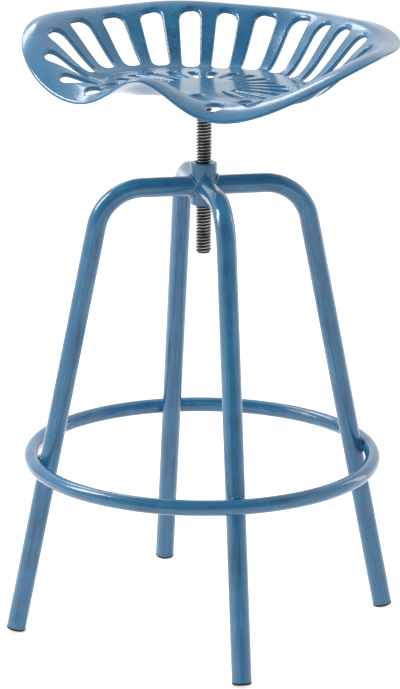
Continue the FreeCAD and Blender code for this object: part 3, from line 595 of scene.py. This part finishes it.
def leg_mesh():
    """Leg tube: its first ring is fitted to the hub's round side, the bend is a little oval."""
    path = leg_path()
    columns = 56
    side = np.tile([0.0, 1.0, 0.0], (len(path), 1))
    length = np.concatenate([[0], np.cumsum(np.linalg.norm(np.diff(path, axis=0), axis=1))])
    middle = length[ARM_STEPS + BEND_STEPS // 2]
    bend = np.clip(1 - np.abs(length - middle) / 50, 0, 1) ** 0.5
    angle = np.linspace(0, 2 * np.pi, columns, endpoint=False)
    radius = TUBE_R * (1 - 0.022 * bend[:, None] * np.cos(angle) ** 2
                       + 0.004 * bend[:, None] * np.sin(angle) ** 2)
    points, normal = swept_tube(path, side, radius, columns)
    start = np.sqrt(HUB_R ** 2 - points[0, :, 1] ** 2) - 0.6
    points[0, :, 0] = start
    points[1:6, :, 0] = np.maximum(points[1:6, :, 0], start + 0.5 * np.arange(1, 6)[:, None])
    uv = np.stack([np.broadcast_to(length[:, None] * MM, points.shape[:2]),
                   np.broadcast_to(angle * TUBE_R * MM, points.shape[:2])], -1)
    # repeat the first column, so that the map round the tube closes
    points = np.concatenate([points, points[:, :1]], 1)
    normal = np.concatenate([normal, normal[:, :1]], 1)
    last = uv[:, :1].copy()
    last[..., 1] = 2 * np.pi * TUBE_R * MM
    uv = np.concatenate([uv, last], 1)
    rows, cols = points.shape[:2]
    return (points.reshape(-1, 3), [grid_faces(rows, cols)], normal.reshape(-1, 3),
            uv.reshape(-1, 2))


def ring_mesh():
    """Foot ring: a circle of tube, its way round as u and the way round the tube as v."""
    rows, cols = 289, 41
    a = np.linspace(0, 2 * np.pi, rows)[:, None]
    b = np.linspace(0, 2 * np.pi, cols)[None, :]
    radial = RING_R + RING_TUBE_R * np.cos(b)
    points = np.stack([radial * np.cos(a), radial * np.sin(a),
                       RING_Z + RING_TUBE_R * np.sin(b) + 0 * a], -1)
    normal = np.stack([np.cos(b) * np.cos(a), np.cos(b) * np.sin(a), np.sin(b) + 0 * a], -1)
    uv = np.stack([a * RING_R * MM + 0 * b, b * RING_TUBE_R * MM + 0 * a], -1)
    return (points.reshape(-1, 3), [grid_faces(rows, cols)[:, ::-1]], normal.reshape(-1, 3),
            uv.reshape(-1, 2))


# Welds

def bead(curve, normal, radius, seed, lumps=0.28, columns=14):
    """Weld bead: a circle carried along a closed curve, its radius rising and falling with the
    overlapping drops of the weld and a slow random swell."""
    n = len(curve)
    noise = np.random.default_rng(seed)
    share = np.arange(n) / n
    length = np.sum(np.linalg.norm(np.roll(curve, -1, 0) - curve, axis=1))
    drops = max(int(length / 3.2), 3)
    ripple = np.abs(np.sin(np.pi * drops * share + noise.uniform(0, 3)))
    swell = sum(noise.normal() * np.cos(2 * np.pi * k * share + noise.uniform(0, 6)) / k
                for k in range(1, 5))
    size = radius * (1 + lumps * (ripple - 0.6) + 0.10 * swell)
    tangent = unit(np.roll(curve, -1, 0) - np.roll(curve, 1, 0))
    other = unit(np.cross(tangent, normal))
    angle = np.linspace(0, 2 * np.pi, columns, endpoint=False)
    points = (curve[:, None] + size[:, None, None]
              * (np.cos(angle)[None, :, None] * normal[:, None]
                 + np.sin(angle)[None, :, None] * other[:, None]))
    closed = np.concatenate([points, points[:1]])
    return closed.reshape(-1, 3), [grid_faces(n + 1, columns, True)], None, None


def hub_weld(degrees, seed):
    """Bead along the curve where an arm's tube meets the hub."""
    a = np.linspace(0, 2 * np.pi, 120, endpoint=False)
    lateral, rise = TUBE_R * np.sin(a), TUBE_R * np.cos(a)
    reach = np.sqrt(HUB_R ** 2 - lateral ** 2)
    curve = np.stack([reach + 0.2, lateral, ARM_Z + rise], -1)
    out = unit(np.stack([0.8 + 0 * a, np.sin(a), np.cos(a)], -1))
    return bead(turn(curve, degrees), turn(out, degrees), 2.4, seed, lumps=0.12)


def ring_weld(degrees, seed):
    """Bead along the closed curve where the foot ring meets a leg."""
    leg_r = FOOT_R - (RING_Z - FOOT_Z) * math.tan(LEAN)
    along = np.array([math.sin(LEAN), 0, -math.cos(LEAN)])
    out = np.array([math.cos(LEAN), 0, math.sin(LEAN)])
    gap = (RING_R - leg_r) * math.cos(LEAN)
    a = np.linspace(0, 2 * np.pi, 72, endpoint=False)
    curve, normals = [], []
    for angle in a:
        reach = 4.0
        for _ in range(60):
            across, down = reach * math.cos(angle), reach * math.sin(angle)
            leg_face = math.sqrt(max(TUBE_R ** 2 - across ** 2, 0.0))
            ring_face = gap - math.sqrt(max(RING_TUBE_R ** 2 - down ** 2, 0.0))
            if leg_face <= ring_face:
                break
            reach += 0.12
        height = (leg_face + ring_face) / 2
        centre = np.array([leg_r, 0, RING_Z]) + out * height - along * down
        centre[1] += across
        curve.append(centre)
        normals.append(unit(math.cos(angle) * np.array([0, 1.0, 0]) - math.sin(angle) * along))
    return bead(turn(np.array(curve), degrees), turn(np.array(normals), degrees), 2.3, seed,
                lumps=0.22)


# Small turned and threaded pieces

def plug_mesh():
    """Foot plug in its own frame, then leaned and moved to the end of its leg."""
    profile = round_corners([(0.01, 0), (TUBE_R, 0), (TUBE_R, PLUG_HEAD),
                             (TUBE_R - 1.6, PLUG_HEAD)], PLUG_EDGE, 6)
    points, faces, _, _ = turned(profile, 56)
    lean = np.array(Matrix.Rotation(-LEAN, 3, "Y"))
    lean[0, 2], lean[2, 0] = -abs(lean[0, 2]), abs(lean[2, 0])
    points = points @ lean.T + np.array([FOOT_R, 0, FOOT_Z])
    return points, faces, None, None


def hub_mesh():
    """Hub: a turned profile that goes down the bore, out and round the two rims."""
    profile = round_corners([(SCREW_R + SCREW_GAP, HUB_LOW + 12), (SCREW_R + SCREW_GAP, HUB_LOW),
                             (HUB_R, HUB_LOW), (HUB_R, HUB_TOP), (SCREW_R + SCREW_GAP, HUB_TOP),
                             (SCREW_R + SCREW_GAP, HUB_TOP - 12)], 1.5, 7)
    return turned(profile, 80)


def screw_mesh():
    """Single-start trapezoidal thread: the profile of one pitch is carried round the axis and
    rises by one pitch per turn. The lower end is trimmed by a cone down to the root."""
    profile = [(-0.62, 9.84), (-0.48, SCREW_R), (0.48, SCREW_R), (0.62, 9.84), (1.17, 7.88),
               (1.34, ROOT_R), (2.66, ROOT_R), (2.83, 7.88)]
    columns = 48
    turns = int((NECK_LOW - SCREW_LOW) / PITCH) + 3
    rows = turns * len(profile)
    at = np.array([p[0] for p in profile])
    level = np.array([p[1] for p in profile])
    steps = np.arange(rows)
    base = SCREW_LOW - PITCH + (steps // len(profile)) * PITCH + at[steps % len(profile)]
    angle = np.linspace(0, 2 * np.pi, columns + 1)
    z = base[:, None] - PITCH + PITCH * angle[None, :] / (2 * np.pi)
    r = np.repeat(level[steps % len(profile)][:, None], columns + 1, 1)
    low, high = SCREW_LOW, NECK_LOW + 0.2
    z_cut = np.clip(z, low, high)
    r = np.minimum(r, ROOT_R + (z_cut - low))
    points = np.stack([r * np.cos(angle), r * np.sin(angle), z_cut], -1)
    faces = grid_faces(rows, columns + 1)
    flat = z_cut.ravel()[faces]
    faces = faces[(flat.max(1) - flat.min(1)) > 1e-6]
    thread = (points.reshape(-1, 3), [faces], None, None)
    cap = turned(np.array([(0.01, low), (ROOT_R, low), (ROOT_R, low + 0.3)]), 48)
    neck = turned(round_corners([(7.0, NECK_LOW), (SCREW_R, NECK_LOW), (SCREW_R, PLATE_TOP),
                                 (0.01, PLATE_TOP)], 0.4, 3), 64)
    return [thread, cap, neck]


def disc(outer, inner, low, high, edge=0.6, columns=72):
    """Turned ring with rounded outer edges."""
    line = [(inner, (low + high) / 2), (inner, low), (outer, low), (outer, high), (inner, high),
            (inner, (low + high) / 2)]
    return turned(round_corners(line, edge, 4), columns)


def moved(part, x, y):
    """Part moved in the plan."""
    points, faces, normal, uv = part
    return points + np.array([x, y, 0.0]), faces, normal, uv


def bolt_mesh():
    """Hexagon bolt: the radius is that of a hexagon, cut by a cone at the head's lower face."""
    high = PLATE_LOW - WASHER_DEPTH
    low = high - BOLT_HEAD
    angle = np.linspace(0, 2 * np.pi, 72, endpoint=False)
    hexagon = BOLT_APOTHEM / np.cos((angle % (math.pi / 3)) - math.pi / 6)
    rings = [np.stack([0 * angle + r, 0 * angle + low], -1) for r in (0.02, 5.6)]
    for z in (low + 0.15, low + 0.45, low + 0.9, low + 1.6, high - 0.1, high):
        rings.append(np.stack([np.minimum(hexagon, 6.2 + (z - low) * 1.7), 0 * angle + z], -1))
    rings.append(np.stack([0 * angle + BOLT_R, 0 * angle + high], -1))
    rings = np.array(rings)
    points = np.stack([rings[..., 0] * np.cos(angle), rings[..., 0] * np.sin(angle),
                       rings[..., 1]], -1)
    head = (points.reshape(-1, 3), [grid_faces(len(rings), 72, True)], None, None)
    tip = PLATE_TOP + 9.0
    shank = turned(np.array([(BOLT_R, high - 0.2), (BOLT_R, tip - 0.5), (3.2, tip),
                             (0.02, tip)]), 32)
    return [head, shank]


# Materials

PAINT, PAINT_DARK, PAINT_PALE = rgb(38, 113, 156), rgb(14, 56, 88), rgb(82, 156, 190)


def painted(name, uv=None, hammer=0.0):
    """Glossy blue paint over worked metal: dark brushed streaks along a tube, or fine hammered
    mottling on a casting."""
    paint = Paint(name, Coat_Weight=0.5, Coat_Roughness=0.04, IOR=1.5)
    spot = paint.space()
    blotch = paint.noise(spot, 30.0, 4.0, 0.6)
    fine = paint.noise(spot, 420.0, 3.0, 0.6)
    if uv:
        streak = paint.noise(paint.space((14.0, 420.0, 1.0), uv), 1.0, 5.0, 0.7, 0.3)
        line = paint.noise(paint.space((5.0, 130.0, 1.0), uv), 1.0, 4.0, 0.6, 0.5)
        mark = (streak - 0.5) * 1.5 + (line - 0.5) * 1.1 + (blotch - 0.5) * 0.9
    else:
        mark = (blotch - 0.5) * 1.3 + (fine - 0.5) * (0.6 + hammer)
    dark = mark.ramp(0.02, 0.45)
    light = (0.0 - mark).ramp(0.02, 0.45)
    colour = paint.mix(light * 0.6, paint.mix(dark * 0.8, PAINT, PAINT_DARK), PAINT_PALE)
    paint.give("Base Color", colour)
    paint.give("Roughness", (0.20 + 0.20 * (blotch - 0.5) + 0.12 * dark).clamp(0.08, 0.6))
    paint.bump(blotch * 0.5 + fine * (0.25 + hammer), 0.0008, 0.3)
    return paint.material


def steel(name, light, dark, roughness, hollow=None):
    """Worn dark steel: oily brown in the hollows, brighter where it rubs. Hollow gives the two
    distances from the Z axis, in mm, between which a thread goes from dark to bare metal."""
    metal = Paint(name, IOR=2.0)
    spot = metal.space()
    patch = metal.noise(spot, 90.0, 4.0, 0.6)
    fine = metal.noise(metal.space((1, 1, 6)), 500.0, 3.0, 0.6)
    worn = (patch + (fine - 0.5) * 0.5).ramp(0.35, 0.7)
    if hollow:
        away = metal.node("VectorMath", output="Value", settings={"operation": "LENGTH"},
                          Vector=metal.space((1, 1, 0)))
        crest = away.ramp(hollow[0] * MM, hollow[1] * MM)
        worn = (0.25 + 0.75 * worn) * crest
    metal.give("Base Color", metal.mix(worn, dark, light))
    metal.give("Metallic", 0.75 + 0.25 * patch)
    metal.give("Roughness", (roughness + 0.3 * (patch - 0.5) + 0.1 * fine).clamp(0.1, 0.8))
    metal.bump(fine, 0.0002, 0.3)
    return metal.material


def plastic(name, colour, paler, roughness):
    """Moulded plastic or rubber with a fine grain and a little dust."""
    stuff = Paint(name, IOR=1.48)
    spot = stuff.space()
    dust = stuff.noise(spot, 60.0, 4.0, 0.6)
    grain = stuff.noise(spot, 900.0, 2.0, 0.5)
    stuff.give("Base Color", stuff.mix(dust.ramp(0.45, 0.75) * 0.6, colour, paler))
    stuff.give("Roughness", (roughness + 0.2 * (dust - 0.5)).clamp(0.2, 0.9))
    stuff.bump(grain, 0.0002, 0.4)
    return stuff.material


seat_paint = painted("seat_paint", hammer=0.5)
tube_paint = painted("tube_paint", "run")
weld_paint = painted("weld_paint")
screw_steel = steel("screw_steel", rgb(196, 188, 184), rgb(44, 38, 38), 0.24,
                    (ROOT_R + 0.4, SCREW_R))
bolt_steel = steel("bolt_steel", rgb(150, 150, 152), rgb(88, 88, 92), 0.36)
foot_plastic = plastic("foot_plastic", rgb(26, 26, 30), rgb(58, 58, 62), 0.5)
bump_rubber = plastic("bump_rubber", rgb(24, 24, 26), rgb(50, 50, 52), 0.65)

# Pieces

build("seat", [seat_mesh(), pad_mesh()], seat_paint, "seat", ["seat_pan"])
build("screw", screw_mesh(), screw_steel, "seat", ["spindle"])
build("plate", [disc(PLATE_R, SCREW_R, PLATE_LOW, PLATE_TOP, 1.0, 96)], screw_steel, "seat",
      ["mounting_plate"])
build("screw_weld", [turned(round_corners([(SCREW_R, PLATE_TOP - 3), (13.0, PLATE_TOP),
                                           (SCREW_R, PLATE_TOP), (SCREW_R, PLATE_TOP - 3)],
                                          0.3, 3), 64)], screw_steel, "seat", ["spindle_weld"])
build("bump", [disc(BUMP_R, SCREW_R + SCREW_GAP, BUMP_LOW, PLATE_LOW, 0.6)], bump_rubber,
      "bump", ["bump_washer"])
bolts, washers = [], []
for number in range(4):
    x = BOLT_CIRCLE_R * math.cos(number * math.pi / 2)
    y = BOLT_CIRCLE_R * math.sin(number * math.pi / 2)
    bolts += [moved(part, x, y) for part in bolt_mesh()]
    washers.append(moved(disc(WASHER_R, 4.3, PLATE_LOW - WASHER_DEPTH, PLATE_LOW, 0.3, 40), x, y))
build("bolts", bolts, bolt_steel, "seat", ["seat_bolts"])
build("washers", washers, bolt_steel, "seat", ["bolt_washers"])
build("hub_piece", [hub_mesh()], weld_paint, "base", ["hub"])
build("hub_beads", [hub_weld(degrees, 11 + i) for i, degrees in enumerate(LEGS.values())],
      weld_paint, "base", ["hub_welds"])
build("ring", [ring_mesh()], tube_paint, "base", ["foot_ring"])
leg_points, leg_faces, leg_normals, leg_uv = leg_mesh()
plug_points, plug_faces, _, _ = plug_mesh()
for number, (place, degrees) in enumerate(LEGS.items()):
    uv = leg_uv + np.array([0.37 * number, 0.0])
    build("leg_tube_" + place, [(turn(leg_points, degrees), leg_faces, turn(leg_normals, degrees),
                                 uv)], tube_paint, "base", ["leg_" + place])
    build("plug_" + place, [(turn(plug_points, degrees), plug_faces, None, None)], foot_plastic,
          "base", ["foot_plug_" + place])
    build("ring_bead_" + place, [ring_weld(degrees, 31 + number)], weld_paint, "base",
          ["ring_weld_" + place])

# Studio

CAMERA_TURN = math.radians(33.03)
reach = 30.0
floor_mesh = bpy.data.meshes.new("studio_floor")
floor_mesh.from_pydata([(-reach, -reach, 0), (reach, -reach, 0), (reach, reach, 0),
                        (-reach, reach, 0)], [], [(0, 1, 2, 3)])
floor = bpy.data.objects.new("studio_floor", floor_mesh)
bpy.context.scene.collection.objects.link(floor)
floor_paint = Paint("studio_white", Roughness=0.9, Specular_IOR_Level=0.0,
                    Base_Color=(0.80, 0.80, 0.81, 1), Emission_Strength=0.72)
floor_paint.give("Emission Color", floor_paint.mix(seen_straight(floor_paint.tree),
                                                   (0.12, 0.12, 0.12, 1), (1, 1, 1, 1)))
floor_mesh.materials.append(floor_paint.material)

# Strength of the room's light. It is stronger from behind and above the camera, but what a
# glossy surface mirrors from there is dark.
AIR, AIR_BEHIND, SEEN, SEEN_BEHIND = 0.44, 0.28, 0.56, 1.06
world = bpy.data.worlds.new("studio_air")
bpy.context.scene.world = world
world.use_nodes = True
air_tree = world.node_tree
air = air_tree.nodes["Background"]
air.inputs["Color"].default_value = (0.98, 0.99, 1.0, 1)
facing = add_node(air_tree, "VectorMath", output="Value", settings={"operation": "DOT_PRODUCT"},
                  Vector=add_node(air_tree, "TexCoord", output="Generated"))
facing.socket.node.inputs[1].default_value = (0.75 * math.sin(CAMERA_TURN),
                                              -0.75 * math.cos(CAMERA_TURN), 0.66)
behind = facing.ramp(0.25, 0.85)
feed(air_tree, air.inputs["Strength"],
     AIR + AIR_BEHIND * behind + seen_straight(air_tree) * (SEEN - SEEN_BEHIND * behind))


def area_light(name, place, target, width, height, power):
    """Rectangular soft light at a place, turned to a target."""
    data = bpy.data.lights.new(name, "AREA")
    data.shape = "RECTANGLE"
    data.size, data.size_y = width, height
    data.energy = power
    lamp = bpy.data.objects.new(name, data)
    lamp.location = place
    aim = Vector(target) - Vector(place)
    lamp.rotation_euler = aim.to_track_quat("-Z", "Y").to_euler()
    bpy.context.scene.collection.objects.link(lamp)


def studio(right, toward, up):
    """Point of the room given by the way right of, towards and above the camera's line."""
    c, s = math.cos(CAMERA_TURN), math.sin(CAMERA_TURN)
    return (right * c + toward * s, right * s - toward * c, up)


area_light("key_left", studio(-2.3, -0.1, 2.2), (0, 0, 0.5), 0.8, 1.4, 46)
area_light("key_right", studio(2.4, -1.2, 1.0), (0, 0, 0.5), 0.5, 1.8, 8)
area_light("top", studio(-1.0, -1.7, 2.4), (0, 0, 0.6), 1.2, 0.6, 12)

# Camera, solved from the photo: place, then forward, right and up directions
DISTANCE, EYE_Z, FOCAL, TALL = 4.00237, 1.5018, 3253.0, 689.0
TILT, YAW, ROLL = 0.275244, 0.000873, 0.005488
turn_angle = CAMERA_TURN + YAW
forward = Vector((-math.sin(turn_angle) * math.cos(TILT), math.cos(turn_angle) * math.cos(TILT),
                  -math.sin(TILT)))
level = forward.cross(Vector((0, 0, 1))).normalized()
upright = level.cross(forward)
right = math.cos(ROLL) * level + math.sin(ROLL) * upright
upward = -math.sin(ROLL) * level + math.cos(ROLL) * upright
camera_data = bpy.data.cameras.new("camera")
camera_data.sensor_width = 36.0
camera_data.lens = FOCAL / TALL * camera_data.sensor_width
camera_data.clip_start, camera_data.clip_end = 0.05, 100.0
camera = bpy.data.objects.new("camera", camera_data)
bpy.context.scene.collection.objects.link(camera)
camera.matrix_world = Matrix((
    (right.x, upward.x, -forward.x, DISTANCE * math.sin(CAMERA_TURN)),
    (right.y, upward.y, -forward.y, -DISTANCE * math.cos(CAMERA_TURN)),
    (right.z, upward.z, -forward.z, EYE_Z),
    (0, 0, 0, 1)))
bpy.context.scene.camera = camera
bpy.context.scene.view_settings.view_transform = "Standard"
